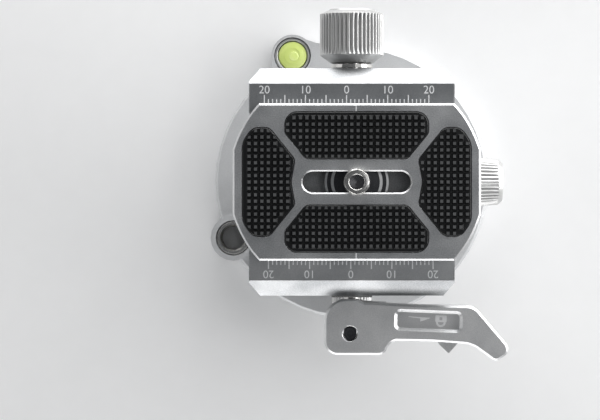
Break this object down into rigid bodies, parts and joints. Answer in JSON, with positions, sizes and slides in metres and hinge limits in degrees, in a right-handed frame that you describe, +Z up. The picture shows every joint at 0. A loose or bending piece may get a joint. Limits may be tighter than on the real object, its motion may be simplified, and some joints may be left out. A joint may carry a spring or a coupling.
{
  "type": "tripod ball head",
  "caption": "Compact tripod ball head on a round base, with a lever-operated dovetail clamp, a sliding camera plate with rubber pads, a bubble level and an accessory port.",
  "frame": {"origin": "on the panning axis, at the underside of the round base", "axes": "+Z up through the ball to the camera; +X along the clamp's dovetail, towards the main lock knob; +Y from the lever towards the clamp's tension knob"},
  "size_m": [0.0795, 0.0862, 0.1008],
  "materials": {
    "blasted_aluminium": "bead-blasted and clear anodised, fine matt grain, bright chamfers",
    "turned_aluminium": "turned and straight-knurled, satin",
    "polished_aluminium": "ground and anodised, smooth satin",
    "steel": "turned stainless steel",
    "black_steel": "black oxide, satin",
    "rubber": "moulded black rubber with small square studs",
    "acetal": "machined natural acetal",
    "brass": "turned brass",
    "level_fluid": "clear domed vial with green-yellow fluid"
  },
  "bodies": {
    "base": {"base_plate": "blasted_aluminium", "thread_bush": "steel", "accessory_bush": "steel", "level_cup": "turned_aluminium", "level_vial": "level_fluid", "pan_washer": "acetal", "pan_retainer": "steel", "retainer_screw": "black_steel"},
    "housing": {"housing": "blasted_aluminium", "wedge_ring": "brass", "ball_seat": "acetal", "ball_collar": "blasted_aluminium"},
    "lock_piston": {"lock_piston": "brass"},
    "lock_knob": {"lock_knob": "turned_aluminium", "lock_screw": "steel"},
    "pan_shoe": {"pan_shoe": "acetal"},
    "pan_knob": {"pan_knob": "turned_aluminium", "pan_screw": "steel"},
    "ball": {"ball": "polished_aluminium"},
    "stem": {"ball_stem": "polished_aluminium"},
    "clamp": {"clamp_body": "blasted_aluminium", "stud_grub_screw": "black_steel", "guide_pin_left": "steel", "guide_pin_right": "steel", "jaw_spring_left": "steel", "jaw_spring_right": "steel"},
    "tension_knob": {"tension_knob": "turned_aluminium", "knob_washer": "steel"},
    "drawbar": {"drawbar": "steel", "lever_pin": "black_steel"},
    "jaw": {"moving_jaw": "blasted_aluminium", "cam_shoe": "steel"},
    "lever": {"lever": "blasted_aluminium", "slider_screw": "black_steel"},
    "slider": {"safety_slider": "blasted_aluminium"},
    "plate": {"camera_plate": "blasted_aluminium", "pad_back": "rubber", "pad_front": "rubber", "pad_left": "rubber", "pad_right": "rubber", "stop_screw_left": "black_steel", "stop_screw_right": "black_steel"},
    "screw_washer": {"screw_washer": "steel"},
    "camera_screw": {"camera_screw": "steel"}
  },
  "joints": [
    {"name": "pan", "type": "hinge", "parent": "base", "child": "housing", "pos_m": [0, 0, 0], "axis": [0, 0, 1], "continuous": true},
    {"name": "lock_turn", "type": "hinge", "parent": "housing", "child": "lock_knob", "pos_m": [0.0265, 0, 0.0283], "axis": [1, 0, 0], "range_deg": [0, 180]},
    {"name": "piston_slide", "type": "slide", "parent": "housing", "child": "lock_piston", "axis": [1, 0, 0], "range_m": [0, 0.00051]},
    {"name": "pan_lock_turn", "type": "hinge", "parent": "housing", "child": "pan_knob", "pos_m": [0, -0.0265, 0.015], "axis": [0, -1, 0], "range_deg": [0, 180]},
    {"name": "pan_shoe_slide", "type": "slide", "parent": "housing", "child": "pan_shoe", "axis": [0, -1, 0], "range_m": [0, 0.00051]},
    {"name": "ball_tilt", "type": "hinge", "parent": "housing", "child": "ball", "pos_m": [0, 0, 0.052], "axis": [1, 0, 0], "range_deg": [-25, 25]},
    {"name": "ball_lean", "type": "hinge", "parent": "ball", "child": "stem", "pos_m": [0, 0, 0.052], "axis": [0, 1, 0], "range_deg": [-25, 25]},
    {"name": "ball_spin", "type": "hinge", "parent": "stem", "child": "clamp", "pos_m": [0, 0, 0.0762], "axis": [0, 0, 1], "continuous": true},
    {"name": "tension_turn", "type": "hinge", "parent": "clamp", "child": "tension_knob", "pos_m": [0, 0.0278, 0.0832], "axis": [0, 1, 0], "range_deg": [0, 360]},
    {"name": "drawbar_slide", "type": "slide", "parent": "clamp", "child": "drawbar", "axis": [0, -1, 0], "range_m": [0, 0.00072]},
    {"name": "lever_swing", "type": "hinge", "parent": "drawbar", "child": "lever", "pos_m": [-0.0004, -0.037, 0.0832], "axis": [0, 0, -1], "range_deg": [0, 90]},
    {"name": "jaw_slide", "type": "slide", "parent": "clamp", "child": "jaw", "axis": [0, -1, 0], "range_m": [0, 0.00205]},
    {"name": "safety_slide", "type": "slide", "parent": "lever", "child": "slider", "axis": [1, 0, 0], "range_m": [0, 0.003]},
    {"name": "plate_slide", "type": "slide", "parent": "clamp", "child": "plate", "axis": [1, 0, 0], "range_m": [-0.0099, 0.0075]},
    {"name": "screw_slide", "type": "slide", "parent": "plate", "child": "screw_washer", "axis": [1, 0, 0], "range_m": [-0.01, 0.01]},
    {"name": "screw_turn", "type": "hinge", "parent": "screw_washer", "child": "camera_screw", "pos_m": [0.0012, 0, 0.0933], "axis": [0, 0, 1], "continuous": true}
  ],
  "couplings": [
    {"joint": "piston_slide", "follows": "lock_turn", "m_per_rad": 0.00015915},
    {"joint": "pan_shoe_slide", "follows": "pan_lock_turn", "m_per_rad": 0.00015915},
    {"joint": "drawbar_slide", "follows": "tension_turn", "m_per_rad": 0.00011141},
    {"joint": "jaw_slide", "follows": "lever_swing", "m_per_rad": 0.0012732}
  ]
}
